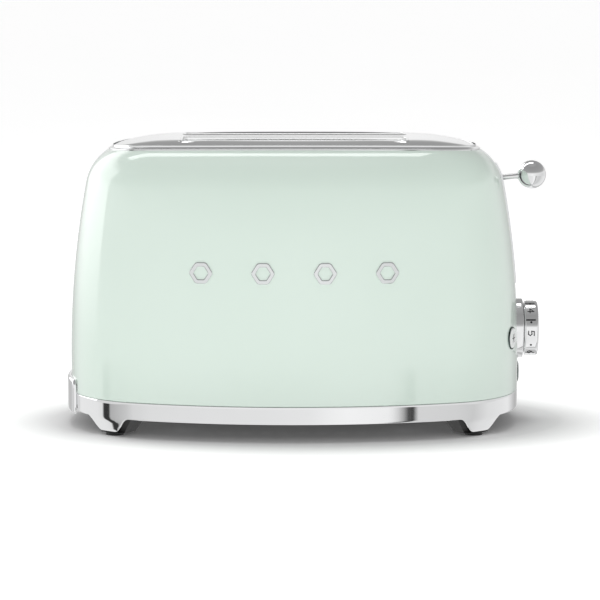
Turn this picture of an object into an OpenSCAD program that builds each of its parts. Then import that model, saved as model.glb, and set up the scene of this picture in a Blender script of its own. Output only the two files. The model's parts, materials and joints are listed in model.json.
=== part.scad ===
// Two-slice toaster with a pressed steel shell, a stainless top, a chrome base and a side lever.
// Millimetres. +Z up, +X towards the lever end, -Y towards the front face.
// The origin is on the supporting surface, under the centre of the overall box.

/* [Body] */
// Plan radius of the four corners
corner_r = 64; // [62:0.5:66]
// Distance from the centre of a long face's arc to a corner's centre
side_reach = 222.5; // [218.75:1.25:226.25]
// Distance from the centre of an end face's arc to a corner's centre
end_reach = 67; // [66:0.5:68]
// Sheet thickness of the outer shell
wall = 1.2; // [0.8:0.1:1.6]
// Height at which the shell walls start to lean inwards
lean_z = 44; // [40:1:48]
// Height at which the rounded shoulder starts
shoulder_z = 156; // [152:1:160]
// Radius of the rounded shoulder
shoulder_r = 31.2; // [29:0.2:33]

/* [Base] */
// Height of the chrome skirt's lower edge
skirt_z0 = 11.6; // [10:0.2:13]
// Height of the seam between skirt and shell
skirt_z1 = 22.7; // [21:0.1:24]
// Thickness of the rubber foot pads
pad_h = 2; // [1.5:0.5:3]
// Half the width of the crumb tray's front
tray_front_half = 42; // [40:1:44]

/* [Top] */
// Height of the flat middle of the top panel
top_z = 185.4; // [184:0.2:188]
// Half the length of a bread slot
slot_half = 71; // [66:1:74]
// Width of a bread slot
slot_w = 34; // [30:1:36]
// Distance of each slot's centre line from the middle
slot_y = 30; // [29:0.5:32]

/* [Controls] */
// Height of the lever ball's centre at rest
ball_z = 160; // [158:1:162]
// Radius of the lever ball
ball_r = 9.25; // [8.5:0.25:10]
// Distance of the ball's centre from the body's centre
ball_x = 153.5; // [152:0.5:156]
// Height of the browning knob's axis
knob_z = 59.9; // [58:0.1:62]
// Radius of the browning knob
knob_r = 17.8; // [16:0.2:18.4]
// Radius of the bezel behind the knob
bezel_r = 19.4; // [19:0.1:20]
// Radius of each push button
button_r = 6.4; // [6:0.1:6.6]

/* [Hidden] */
$fn = 48;

// Plan of the body: four arcs and four corners that meet tangentially. The arcs meet on two
// lines through each corner's centre, whose directions are Pythagorean pairs, so that every
// arc's centre is a short decimal and the swept pieces join without a gap.
long_fn = 240;
side_dir = [0.352, 0.936];
end_dir = [0.96, 0.28];
corner_c = [side_reach * side_dir[0], end_reach * end_dir[1]];
side_r = side_reach + corner_r;
end_r = end_reach + corner_r;
side_c = corner_c[1] - side_reach * side_dir[1];
end_c = corner_c[0] - end_reach * end_dir[0];
half_length = end_c + end_r;
side_span = atan(side_dir[0] / side_dir[1]);
end_span = atan(end_dir[1] / end_dir[0]);

// Overall reach to each side, which puts the origin under the middle of the box
tray_proud = 2.5;
body_x = (half_length + tray_proud - (ball_x + ball_r)) / 2;

// Shell section as [inset, height] points, each with the angle its surface leans at
lean_k = 1190;
function lean_inset(z) = pow(max(0, z - lean_z), 2) / lean_k;
shoulder_a0 = atan(2 * (shoulder_z - lean_z) / lean_k);
shoulder_cx = lean_inset(shoulder_z) + shoulder_r * cos(shoulder_a0);
shoulder_cz = shoulder_z - shoulder_r * sin(shoulder_a0);

// The shell stops under the rim, which dips towards the ends along a big circle
rim_angle = 59.3;
rim_z = shoulder_cz + shoulder_r * sin(rim_angle);
rim_bend_r = 807;
rim_h = 3.1;
shoulder_a1 = 75;
function rim_height(y) = rim_z + rim_bend_r - sqrt(pow(rim_bend_r, 2) - y * y);

// Point of the section at height z in the leaning wall, moved inwards by t
function lean_point(z, t) =
  let (a = atan(2 * max(0, z - lean_z) / lean_k))
  [lean_inset(z) + t * cos(a), z - t * sin(a)];
// Point of the section at angle a in the shoulder, moved inwards by t
function shoulder_point(a, t) =
  [shoulder_cx - (shoulder_r - t) * cos(a), shoulder_cz + (shoulder_r - t) * sin(a)];
lean_steps = 8;
shoulder_steps = 6;
// The section from height z0 of the leaning wall up to angle a_end of the shoulder
function section_line(z0, t, a_end) = concat(
  [for (i = [0 : lean_steps]) lean_point(z0 + (shoulder_z - z0) * i / lean_steps, t)],
  [for (i = [1 : shoulder_steps])
    shoulder_point(shoulder_a0 + (a_end - shoulder_a0) * i / shoulder_steps, t)]
);
function reversed(list) = [for (i = [len(list) - 1 : -1 : 0]) list[i]];

// Inside of the machine
plate_x = 87.4;
plate_t = 1.2;
floor_z = 14.5;
chassis_z = 172;
board_y = 55;
reflector_y = 61.2;
guard_offset = 16;
wire_r = 0.9;
guard_pitch = 13;
rack_z = 106;
carriage_x = 93;
rod_x = 101;
rod_r = 3;
rod_top = 171;
board_x = 121;
board_screw_r = 1.5;
magnet_x = 110.5;
magnet_y = 28;
lever_travel = 60;
ledge_z = 121;
stem_r = 1.8;
slot_gap = 2.5;
lever_low = 95;
lever_high = 162;
knob_x0 = 148.6;
knob_x1 = 158.4;
bezel_x1 = 148;
shaft_r = 3;
side_button_y = 40;
button_turn = asin((side_button_y - corner_c[1]) / corner_r);
side_button_z = 58.5;
lower_button_z = 31.6;
ring_r = button_r + 0.9;
tray_half = 39.5;
tray_z0 = 15.5;
tray_z1 = 24;
gland_x = -60;
leg_mid = 50.5;
leg_root = 2;
leg_z = pad_h + 0.4;

// Shifts a part from the body's own centre to the part's origin
module placed() { translate([body_x, 0, 0]) children(); }

// A tall prism that keeps one stretch of a sweep
module stretch(points) { translate([0, 0, -10]) linear_extrude(230) polygon(points); }
// Sweeps a flat [inset, height] section about the Z axis at radius r
module arc(r, start, angle) {
  rotate_extrude(start = start, angle = angle, $fn = long_fn)
    translate([r, 0]) mirror([1, 0]) children();
}
near = 20;
far = 100;
side_near = corner_c - near * side_dir;
side_far = corner_c + far * side_dir;
end_near = corner_c - near * end_dir;
end_far = corner_c + far * end_dir;
// Sweeps a section along the rear arc
module side_sweep() intersection() {
  translate([0, side_c, 0]) arc(side_r, 60, 60) children();
  stretch([side_near, side_far, [-side_far[0], side_far[1]], [-side_near[0], side_near[1]]]);
}
// Sweeps a section along the arc of the +X end
module end_sweep() intersection() {
  translate([end_c, 0, 0]) arc(end_r, -60, 120) children();
  stretch([end_near, end_far, [end_far[0], -end_far[1]], [end_near[0], -end_near[1]]]);
}
// Sweeps a section along the corner between +X and +Y
module corner_sweep() intersection() {
  translate([corner_c[0], corner_c[1], 0]) arc(corner_r, 0, 90) children();
  stretch([corner_c, end_far, end_far + side_far - corner_c, side_far]);
}
// Sweeps a section all the way round the body's plan
module plan_sweep() {
  for (turn = [0, 180]) rotate(turn) {
    side_sweep() children();
    end_sweep() children();
    for (m = [0, 1]) mirror([0, m, 0]) corner_sweep() children();
  }
}
// Point of the plan, moved inwards by d, where the outline faces angle a of the first quadrant
function plan_point(a, d) =
  a <= end_span ? [end_c + (end_r - d) * cos(a), (end_r - d) * sin(a)]
  : a < 90 - side_span ? corner_c + (corner_r - d) * [cos(a), sin(a)]
  : [(side_r - d) * cos(a), side_c + (side_r - d) * sin(a)];
plan_steps = 8;
plan_angles = concat(
  [for (i = [0 : plan_steps]) end_span * i / plan_steps],
  [for (i = [1 : plan_steps]) end_span + (90 - side_span - end_span) * i / plan_steps],
  [for (i = [1 : plan_steps]) 90 - side_span + side_span * i / plan_steps]
);
// How far inside the plan the rim runs at angle a, found in a few steps
function rim_inset(a, inset = 27, steps = 3) =
  steps == 0 ? inset
  : rim_inset(a, shoulder_cx - shoulder_r * cos(asin(
      (rim_height(plan_point(a, inset)[1]) - shoulder_cz) / shoulder_r)), steps - 1);
// A closed outline from the points of its first quadrant
module four_fold(q) {
  last = len(q) - 1;
  polygon(concat(
    q, [for (i = [last - 1 : -1 : 0]) [-q[i][0], q[i][1]]],
    [for (i = [1 : last]) [-q[i][0], -q[i][1]]],
    [for (i = [last - 1 : -1 : 1]) [q[i][0], -q[i][1]]]
  ));
}
// Outline of the plan moved inwards by d, and the rim's outline moved inwards by d
module plan(d) four_fold([for (a = plan_angles) plan_point(a, d)]);
module rim_plan(d) four_fold([for (a = plan_angles) plan_point(a, rim_inset(a) + d)]);
module plan_slab(d, z0, z1) { translate([0, 0, z0]) linear_extrude(z1 - z0) plan(d); }
// Everything above the rim's curve, raised by lift
module above_rim(lift) {
  translate([0, 0, rim_z + rim_bend_r + lift]) rotate([0, 90, 0])
    cylinder(r = rim_bend_r, h = 320, center = true, $fn = 3 * long_fn);
}

// A box given by its two corners
module block(low, high) { translate(low) cube(high - low); }
// Puts local +Z along the outward normal of the middle of the +X end
module on_end(z) {
  translate([half_length, 0, z]) rotate([0, 90, 0]) children();
}
// The same on the front corner (side = -1) or the rear corner (side = 1)
module on_corner(side, z) {
  translate([corner_c[0], side * corner_c[1], z]) rotate(side * button_turn)
    translate([corner_r, 0, 0]) rotate([0, 90, 0]) children();
}
module along_x(x0, x1, r, y = 0, z = 0) {
  translate([x0, y, z]) rotate([0, 90, 0]) cylinder(r = r, h = x1 - x0);
}

// ---- Casing ----

module shell_section() {
  polygon(concat([[0, skirt_z1]], section_line(lean_z, 0, shoulder_a1),
    reversed(section_line(lean_z, wall, shoulder_a1)), [[wall, skirt_z1]]));
}
module outer_shell() color([0.76, 0.88, 0.80]) placed() difference() {
  plan_sweep() shell_section();
  above_rim(0);
  block([120, -slot_gap, lever_low], [150, slot_gap, lever_high]);
  along_x(130, 150, 9, 0, knob_z);
  for (s = [-1, 1]) on_corner(s, side_button_z)
    translate([0, 0, -12]) cylinder(r = ring_r, h = 20);
  on_end(lower_button_z) translate([0, 0, -12]) cylinder(r = ring_r, h = 20);
  block([-150, -tray_half - 1, skirt_z1 - 1], [-120, tray_half + 1, 29]);
}

module trim_ring() color([0.80, 0.80, 0.80]) placed() difference() {
  intersection() {
    translate([0, 0, rim_z - 5]) linear_extrude(15) difference() {
      rim_plan(-0.4);
      rim_plan(3);
    }
    above_rim(0);
  }
  above_rim(rim_h);
}

// The top panel's crown: flat in the middle, falling in an arc towards each edge
end_fall_r = 160;
end_fall_x = 75;
side_fall_r = 57;
side_fall_y = 46;
panel_inset = 3.3;
panel_t = 1;
panel_low = rim_z - 1;
lip_h = 0.5;
sheet_z = top_z - lip_h;
module crown_line(flat_half, fall_r, reach, drop) {
  steps = 10;
  edge = [for (i = [0 : steps]) let (x = flat_half + (reach - flat_half) * i / steps)
    [x, sheet_z - drop - fall_r + sqrt(pow(fall_r, 2) - pow(x - flat_half, 2))]];
  polygon(concat([[-reach, panel_low - drop]], [for (p = reversed(edge)) [-p[0], p[1]]],
    edge, [[reach, panel_low - drop]]));
}
module crown(drop, d) intersection() {
  translate([0, 0, panel_low - drop]) linear_extrude(top_z - panel_low) rim_plan(d);
  rotate([90, 0, 0]) translate([0, 0, -100]) linear_extrude(200)
    crown_line(end_fall_x, end_fall_r, 130, drop);
  rotate([90, 0, 90]) translate([0, 0, -150]) linear_extrude(300)
    crown_line(side_fall_y, side_fall_r, 80, drop);
}
module slot_outline(grow) {
  r = 3 + grow;
  for (x = [-1, 1], y = [-1, 1])
    translate([x * (slot_half - 3), y * (slot_w / 2 - 3)]) circle(r);
  square([2 * slot_half + 2 * grow, slot_w - 6], center = true);
  square([2 * slot_half - 6, slot_w + 2 * grow], center = true);
}
module top_panel() color([0.82, 0.82, 0.82]) placed() difference() {
  union() {
    difference() { crown(0, panel_inset); crown(panel_t, panel_inset + panel_t); }
    for (s = [-1, 1]) translate([0, s * slot_y, panel_low]) linear_extrude(top_z - panel_low)
      slot_outline(0.8);
  }
  for (s = [-1, 1]) translate([0, s * slot_y, panel_low - 5]) linear_extrude(20) slot_outline(0);
}

module base_skirt() color([0.80, 0.80, 0.80]) placed() {
  difference() {
    plan_sweep() polygon([[0, skirt_z0], [0, skirt_z1], [2, skirt_z1], [2, floor_z + 1.5],
      [7, floor_z + 1.5], [7, floor_z], [2, floor_z], [2, skirt_z0]]);
    block([-150, -tray_half - 1, 13], [-120, tray_half + 1, 40]);
  }
  // Four legs that taper to the foot, cut from the wall of each corner
  each_corner() intersection() {
    corner_sweep() polygon([[0.1, skirt_z0 + leg_root], [1.9, skirt_z0 + leg_root],
      [1.9, skirt_z0 - 1], [5, leg_z], [3, leg_z], [0.1, skirt_z0 - 1]]);
    leg_wedge([[-15.2, skirt_z0 + leg_root], [15.2, skirt_z0 + leg_root], [15.2, skirt_z0],
      [8, leg_z], [-8, leg_z], [-15.2, skirt_z0]]);
  }
}

// Repeats a shape made for the corner between +X and +Y at all four corners
module each_corner() {
  for (turn = [0, 180]) rotate(turn) for (m = [0, 1]) mirror([0, m, 0]) children();
}
// Turns local +X to point out of that corner, half way along a leg
module at_leg() {
  translate([corner_c[0], corner_c[1], 0]) rotate(leg_mid) children();
}
// A prism across a leg from an outline of [distance from the leg's middle, height] points,
// where a positive distance is towards the middle of the long face
module leg_wedge(outline) {
  at_leg() translate([40, 0, 0]) rotate([90, 0, 90]) linear_extrude(40) polygon(outline);
}
module underbody() color([0.10, 0.10, 0.10]) placed() difference() {
  union() {
    plan_slab(2.3, skirt_z0 + 0.4, floor_z);
    // Cores behind the chrome legs, a little wider towards the middle of each long face
    each_corner() intersection() {
      corner_sweep() polygon([[2.3, skirt_z0 + 1], [2.3, skirt_z0 - 1], [5.4, leg_z],
        [5.4, leg_z - 0.1], [3, leg_z - 0.1], [3, pad_h], [15, pad_h], [15, skirt_z0 + 1]]);
      leg_wedge([[-13, skirt_z0 + 1], [18.5, skirt_z0 + 1], [10.5, pad_h], [-7, pad_h]]);
    }
    block([96, -8, floor_z - 1], [108, 8, 30]);
  }
  // Air slots and the guide rod's socket
  for (x = [-54 : 12 : 54], s = [-1, 1])
    block([x - 2, s * 62 - 10, 0], [x + 2, s * 62 + 10, 20]);
  translate([rod_x, 0, 20]) cylinder(r = rod_r, h = 20);
}
module rubber_feet() color([0.05, 0.05, 0.05]) placed()
  each_corner() at_leg() translate([55, 0, 0]) cylinder(r = 5.5, h = pad_h);

// A plain six-sided outline, used as ornament on the front face
module lozenge(half_w, half_h) {
  polygon([[-half_w, 0], [-half_w * 0.45, half_h], [half_w * 0.45, half_h], [half_w, 0],
    [half_w * 0.45, -half_h], [-half_w * 0.45, -half_h]]);
}
ornament_z = 105.4;
ornament_pitch = 38.5;
module front_ornaments() color([0.78, 0.80, 0.80]) placed() intersection() {
  rotate(180) side_sweep() polygon(concat(
    [for (z = [86, 100, 114, 128]) lean_point(z, -0.6)],
    [for (z = [128, 114, 100, 86]) lean_point(z, 0)]));
  for (i = [-1.5 : 1 : 1.5]) translate([i * ornament_pitch, 0, ornament_z])
    rotate([90, 0, 0]) linear_extrude(110) difference() {
      lozenge(7.6, 6.6);
      lozenge(4.6, 3.9);
    }
}

module control_bezel() color([0.78, 0.78, 0.78]) placed() difference() {
  along_x(139, bezel_x1, bezel_r, 0, knob_z);
  end_sweep() polygon(concat([[0, 30]],
    [for (i = [0 : 4]) lean_point(lean_z + (shoulder_z - lean_z) * i / lean_steps, 0)],
    [[40, 100], [40, 30]]));
  along_x(130, 150, shaft_r + 0.4, 0, knob_z);
}
module lever_slot_trim() color([0.35, 0.36, 0.36]) placed() difference() {
  intersection() {
    end_sweep() polygon(concat(section_line(88, -0.8, 33), reversed(section_line(88, 0, 33))));
    block([110, -4.6, 90], [150, 4.6, 168]);
  }
  block([110, -slot_gap, lever_low], [150, slot_gap, lever_high]);
}
module button_ring() difference() {
  translate([0, 0, -3.2]) cylinder(r = ring_r, h = 3.6);
  translate([0, 0, -5]) cylinder(r = button_r + 0.35, h = 10);
}
module button_rings() color([0.12, 0.22, 0.20]) placed() {
  for (s = [-1, 1]) on_corner(s, side_button_z) button_ring();
  on_end(lower_button_z) button_ring();
}

// ---- Chassis and heating ----

module plate_window(x0, y, half_w, z0, z1) {
  block([x0 - 1, y - half_w, z0], [x0 + plate_t + 1, y + half_w, z1]);
}
module left_chassis_plate() color([0.70, 0.71, 0.72]) placed() difference() {
  block([-plate_x - plate_t, -reflector_y, floor_z], [-plate_x, reflector_y, chassis_z]);
  plate_window(-plate_x - plate_t, 0, tray_half + 2, floor_z - 1, tray_z1 + 5);
  for (y = [-slot_y, slot_y], z = [60 : 24 : 150])
    translate([-plate_x - 3, y, z]) rotate([0, 90, 0]) cylinder(r = 4, h = 6);
}
module right_chassis_plate() color([0.70, 0.71, 0.72]) placed() difference() {
  block([plate_x, -reflector_y, floor_z], [plate_x + plate_t, reflector_y, chassis_z]);
  for (y = [-slot_y, slot_y]) plate_window(plate_x, y, 2.2, 34, rack_z + 6);
}
module reflector(s) {
  difference() {
    union() {
      block([-plate_x, s * (reflector_y - 0.6) - 0.6, 28],
        [plate_x, s * (reflector_y - 0.6) + 0.6, 170]);
      block([-plate_x, s * (reflector_y - 3) - 3, 170], [plate_x, s * (reflector_y - 3) + 3, 171]);
    }
    for (x = [-72 : 24 : 72]) block([x - 8, s * reflector_y - 3, 36], [x + 8, s * reflector_y + 3, 39]);
  }
}
module front_reflector() color([0.78, 0.79, 0.80]) placed() reflector(-1);
module rear_reflector() color([0.78, 0.79, 0.80]) placed() reflector(1);

// Mica card of a heater, with a slit at each end of every level pass of the ribbon
winding_half = 78;
winding_pitch = 10;
winding_levels = [for (z = [44 : winding_pitch : 154]) z];
ribbon_w = 1.4;
slit = 0.3;
module heater_board(y) {
  difference() {
    block([-plate_x, y - 0.5, 30], [plate_x, y + 0.5, 168]);
    for (z = winding_levels, s = [-1, 1])
      block([s * winding_half - 0.5 - slit, y - 3, z - slit],
        [s * winding_half + 0.5 + slit, y + 3, z + ribbon_w + slit]);
  }
}
// Flat ribbon wound through the card: level passes in front, slanted passes behind
module heater_winding(y) {
  rise = atan(winding_pitch / (2 * winding_half));
  for (z = winding_levels) {
    block([-winding_half, y - 1.1, z], [winding_half, y - 0.6, z + ribbon_w]);
    for (s = [-1, 1]) block([s * winding_half - 0.5, y - 1.1, z],
      [s * winding_half + 0.5, y + 1.1, z + ribbon_w]);
    if (z < max(winding_levels)) translate([-winding_half, y + 0.6, z + winding_pitch])
      rotate([0, rise, 0]) cube([2 * winding_half / cos(rise), 0.5, ribbon_w]);
  }
}
module front_heater_board() color([0.72, 0.66, 0.55]) placed() heater_board(-board_y);
module centre_heater_board() color([0.72, 0.66, 0.55]) placed() heater_board(0);
module rear_heater_board() color([0.72, 0.66, 0.55]) placed() heater_board(board_y);
module front_heater_winding() color([0.55, 0.52, 0.50]) placed() heater_winding(-board_y);
module centre_heater_winding() color([0.55, 0.52, 0.50]) placed() heater_winding(0);
module rear_heater_winding() color([0.55, 0.52, 0.50]) placed() heater_winding(board_y);

// ---- Lift mechanism ----

module guide_rod() color([0.75, 0.76, 0.78]) placed()
  translate([rod_x, 0, 20]) cylinder(r = rod_r, h = rod_top - 20);
module top_bracket() color([0.70, 0.71, 0.72]) placed() difference() {
  union() {
    block([plate_x + plate_t, -16, 166], [112, 16, 167.5]);
    block([plate_x + plate_t, -16, 150], [plate_x + plate_t + 1.5, 16, 167.5]);
  }
  translate([rod_x, 0, 160]) cylinder(r = rod_r, h = 20);
  translate([rod_x, 11, 160]) cylinder(r = 1.4, h = 20);
}
spring_y = 11;
spring_z0 = 120.5;
spring_z1 = 166;
spring_end = 5;
spring_outer_r = 3.4;
spring_inner_r = 2.4;
module lift_spring() color([0.72, 0.72, 0.74]) placed() translate([rod_x, spring_y, 0]) {
  difference() {
    translate([0, 0, spring_z0 + spring_end])
      cylinder(r = spring_outer_r, h = spring_z1 - spring_z0 - 2 * spring_end);
    translate([0, 0, spring_z0]) cylinder(r = spring_inner_r, h = spring_z1 - spring_z0);
  }
  for (z = [spring_z0 + spring_end, spring_z1 - spring_end - 1.2])
    translate([-0.6, -3, z]) cube([1.2, 6, 1.2]);
  for (z = [spring_z0, spring_z1 - spring_end - 1])
    translate([0, 0, z]) cylinder(r = 0.6, h = spring_end + 1);
}

module carriage() color([0.66, 0.67, 0.69]) placed() difference() {
  union() {
    block([carriage_x, -36, 99], [carriage_x + 1.5, 36, 119]);
    translate([rod_x, 0, 97]) cylinder(r = 6, h = 27);
    block([carriage_x, -4, 99], [rod_x - 4, 4, 123]);
    block([rod_x + 4, -3, 99], [rod_x + 8, 3, 119]);
    block([rod_x + 6, -3, 99], [rod_x + 8, 3, 162]);
    block([carriage_x, 7, 119], [rod_x + 4, 15, 120.5]);
    block([carriage_x, 7, 115], [carriage_x + 1.5, 15, 120.5]);
    block([carriage_x, magnet_y - 10, ledge_z], [118, magnet_y + 8, ledge_z + 1.5]);
    block([carriage_x, magnet_y - 10, 110], [carriage_x + 1.5, magnet_y + 8, ledge_z + 1.5]);
  }
  translate([rod_x, 0, 90]) cylinder(r = rod_r + 0.05, h = 40);
  along_x(rod_x + 2, rod_x + 20, stem_r, 0, stem_root_z);
}
// The stem climbs slightly from the carriage to the ball
stem_rise = 5.5;
stem_root_x = rod_x + 6;
stem_root_z = ball_z - (ball_x - stem_root_x - 6) * tan(stem_rise);
module lever_stem() color([0.78, 0.78, 0.78]) placed() {
  along_x(stem_root_x, stem_root_x + 7, stem_r, 0, stem_root_z);
  translate([stem_root_x + 6, 0, stem_root_z]) rotate([0, 90 - stem_rise, 0])
    cylinder(r = stem_r, h = (ball_x - stem_root_x - 6) / cos(stem_rise) + 2);
}
module lever_ball() color([0.85, 0.85, 0.85]) placed() difference() {
  translate([ball_x, 0, ball_z]) sphere(r = ball_r, $fn = 96);
  translate([stem_root_x + 6, 0, stem_root_z]) rotate([0, 90 - stem_rise, 0])
    cylinder(r = stem_r, h = (ball_x - stem_root_x - 6) / cos(stem_rise) + 2);
}
module bread_rack(y) {
  block([-80, y - 1, rack_z - 6], [carriage_x, y + 1, rack_z]);
  for (x = [-71.5 : guard_pitch : 76]) block([x - 0.6, y - 8.5, rack_z - 4], [x + 0.6, y + 8.5, rack_z]);
}
module front_bread_rack() color([0.72, 0.73, 0.75]) placed() bread_rack(-slot_y);
module rear_bread_rack() color([0.72, 0.73, 0.75]) placed() bread_rack(slot_y);
module armature_plate() color([0.60, 0.60, 0.62]) placed()
  block([magnet_x - 7.5, magnet_y - 7, ledge_z - 2.5], [magnet_x + 7.5, magnet_y + 7, ledge_z]);
module electromagnet() color([0.45, 0.30, 0.20]) placed() {
  block([magnet_x - 7, magnet_y - 7, floor_z], [magnet_x + 7, magnet_y + 7, 24]);
  translate([magnet_x, magnet_y, 23]) cylinder(r = 7, h = 28);
  translate([magnet_x, magnet_y, 50]) cylinder(r = 4, h = ledge_z - 2.5 - lever_travel - 0.5 - 50);
}

// ---- Bread guards: flat rails joined by upright wires ----

module bread_guard(y) {
  for (z = [36, 168]) block([-80, y - 0.6, z], [80, y + 0.6, z + 4]);
  for (x = [-78 : guard_pitch : 78]) translate([x, y, 38]) cylinder(r = wire_r, h = 132);
}
module front_outer_guard() color([0.80, 0.80, 0.80]) placed() bread_guard(-slot_y - guard_offset);
module front_inner_guard() color([0.80, 0.80, 0.80]) placed() bread_guard(-slot_y + guard_offset);
module rear_inner_guard() color([0.80, 0.80, 0.80]) placed() bread_guard(slot_y - guard_offset);
module rear_outer_guard() color([0.80, 0.80, 0.80]) placed() bread_guard(slot_y + guard_offset);

// ---- Controls ----

module control_board() color([0.10, 0.35, 0.20]) placed() difference() {
  block([board_x, -50, 25], [board_x + 1.6, 50, 86]);
  for (s = [-1, 1]) along_x(board_x - 1, board_x + 3, board_screw_r, s * 46, 80);
}
module browning_potentiometer() color([0.30, 0.30, 0.32]) placed() difference() {
  union() {
    along_x(board_x + 1.6, 131, 8.5, 0, knob_z);
    block([board_x + 1.6, -6, knob_z - 14], [125.5, 6, knob_z]);
  }
  along_x(125, 140, shaft_r + 0.05, 0, knob_z);
}
module tact_switch(y, z) {
  block([board_x + 1.6, y - 3, z - 3], [board_x + 5.1, y + 3, z + 3]);
  along_x(board_x + 5.1, board_x + 6.2, 1.7, y, z);
}
module tact_switches() color([0.15, 0.15, 0.15]) placed() {
  for (s = [-1, 1]) tact_switch(s * 35.5, side_button_z);
  tact_switch(0, lower_button_z);
}
module browning_knob() color([0.80, 0.80, 0.80]) placed() translate([0, 0, knob_z])
  rotate([0, 90, 0]) rotate_extrude($fn = 96)
    polygon([[shaft_r, knob_x0], [knob_r - 0.6, knob_x0], [knob_r, knob_x0 + 0.6],
      [knob_r, knob_x1 - 1.8], [knob_r - 0.6, knob_x1 - 0.8], [knob_r - 1.8, knob_x1 - 0.3],
      [knob_r * 0.5, knob_x1 - 0.05], [0, knob_x1], [0, knob_x1 - 2], [shaft_r, knob_x1 - 2]]);
module knob_shaft() color([0.70, 0.70, 0.72]) placed()
  along_x(125.6, knob_x1 - 2, shaft_r, 0, knob_z);

module push_button(reach) {
  translate([0, 0, -2.6]) cylinder(r = button_r, h = 3.7);
  translate([0, 0, -reach]) cylinder(r = 2, h = reach - 1);
}
module front_button() color([0.86, 0.90, 0.88]) placed() on_corner(-1, side_button_z) push_button(8);
module rear_button() color([0.86, 0.90, 0.88]) placed() on_corner(1, side_button_z) push_button(8);
module lower_button() color([0.86, 0.90, 0.88]) placed() on_end(lower_button_z) push_button(15);

// ---- Crumb tray ----

module crumb_tray_pan() color([0.74, 0.75, 0.76]) placed() difference() {
  block([-139, -tray_half, tray_z0], [84, tray_half, tray_z1]);
  block([-137, -tray_half + 1, tray_z0 + 1], [83, tray_half - 1, tray_z1 + 1]);
}
module crumb_tray_front() color([0.80, 0.80, 0.80]) placed() {
  intersection() {
    plan_sweep() polygon([[-tray_proud + 1.2, 9.4], [-tray_proud, 10.8],
      [-tray_proud, 29.8], [-tray_proud + 1.4, 31.6], [-0.3, 31.6], [-0.3, 9.4]]);
    block([-150, -tray_front_half, 5], [-120, tray_front_half, 40]);
  }
  block([-half_length - 1, -32, 16], [-139, 32, 23]);
}
module tray_rails() color([0.70, 0.71, 0.72]) placed() for (s = [-1, 1])
  block([-86, s * (tray_half + 1.3) - 0.7, floor_z], [86, s * (tray_half + 1.3) + 0.7, 22]);

// ---- Supply and fasteners ----

module gland_axis(z, r, y0, y1) {
  translate([gland_x, y1, z]) rotate([90, 0, 0]) cylinder(r = r, h = y1 - y0);
}
module cord_gland() color([0.06, 0.06, 0.06]) placed() difference() {
  union() {
    gland_axis(7, 4.6, 80, 90);
    block([gland_x - 8, 78, 1.6], [gland_x + 8, 81, 12]);
  }
  gland_axis(7, 3.5, 70, 95);
}
module terminal_block() color([0.88, 0.88, 0.84]) placed() difference() {
  block([gland_x - 12, 66, floor_z], [gland_x + 12, 76, 28]);
  for (x = [-8, 0, 8]) translate([gland_x + x, 71, 20]) cylinder(r = 2.2, h = 10);
}
module cord_wrap_hooks() color([0.08, 0.08, 0.08]) placed() for (x = [-48, 48]) {
  block([x - 1.5, -24, 4], [x + 1.5, 24, skirt_z0 + 0.4]);
  block([x - 5, -24, 4], [x + 5, 24, 6]);
}
module base_screws() color([0.55, 0.56, 0.58]) placed()
  for (x = [-70, 70], y = [-46, 46]) translate([x, y, skirt_z0 - 1.4]) {
    cylinder(r = 3.2, h = 1.8);
  }
module chassis_screws() color([0.60, 0.61, 0.63]) placed()
  for (y = [-50, 50], z = [40, 160]) {
    along_x(plate_x + plate_t, plate_x + plate_t + 1.6, 2.8, y, z);
    along_x(-plate_x - plate_t - 1.6, -plate_x - plate_t, 2.8, y, z);
  }

outer_shell();
trim_ring();
top_panel();
base_skirt();
underbody();
rubber_feet();
front_ornaments();
control_bezel();
lever_slot_trim();
button_rings();
left_chassis_plate();
right_chassis_plate();
front_reflector();
rear_reflector();
front_heater_board();
front_heater_winding();
centre_heater_board();
centre_heater_winding();
rear_heater_board();
rear_heater_winding();
guide_rod();
top_bracket();
lift_spring();
electromagnet();
control_board();
browning_potentiometer();
tact_switches();
terminal_block();
cord_gland();
cord_wrap_hooks();
tray_rails();
base_screws();
chassis_screws();
carriage();
lever_stem();
lever_ball();
front_bread_rack();
rear_bread_rack();
armature_plate();
front_outer_guard();
front_inner_guard();
rear_inner_guard();
rear_outer_guard();
browning_knob();
knob_shaft();
front_button();
rear_button();
lower_button();
crumb_tray_pan();
crumb_tray_front();
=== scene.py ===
"""Two-slice toaster: smooth skins, finishes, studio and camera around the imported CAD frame."""
import json
import math

import bmesh
import bpy
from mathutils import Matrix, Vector


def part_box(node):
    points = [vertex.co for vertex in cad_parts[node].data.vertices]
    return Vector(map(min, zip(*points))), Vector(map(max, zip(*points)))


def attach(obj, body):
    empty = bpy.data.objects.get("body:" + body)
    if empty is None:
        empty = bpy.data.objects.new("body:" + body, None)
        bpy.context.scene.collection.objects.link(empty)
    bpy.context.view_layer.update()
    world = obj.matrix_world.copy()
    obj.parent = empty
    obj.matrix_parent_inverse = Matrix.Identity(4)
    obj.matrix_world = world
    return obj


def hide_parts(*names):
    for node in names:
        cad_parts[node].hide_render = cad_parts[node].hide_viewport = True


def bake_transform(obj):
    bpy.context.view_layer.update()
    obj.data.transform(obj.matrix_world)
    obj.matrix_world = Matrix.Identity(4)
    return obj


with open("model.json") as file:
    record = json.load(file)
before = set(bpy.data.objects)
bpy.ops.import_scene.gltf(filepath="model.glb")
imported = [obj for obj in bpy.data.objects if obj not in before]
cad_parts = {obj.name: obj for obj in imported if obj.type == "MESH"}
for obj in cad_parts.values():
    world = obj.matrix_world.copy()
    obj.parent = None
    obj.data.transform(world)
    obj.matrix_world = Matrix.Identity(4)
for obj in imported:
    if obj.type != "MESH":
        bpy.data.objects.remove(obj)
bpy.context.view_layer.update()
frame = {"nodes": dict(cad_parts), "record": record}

MM = 1000.0


# ---- Sizes, in millimetres, with X measured from the middle of the body ----

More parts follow.
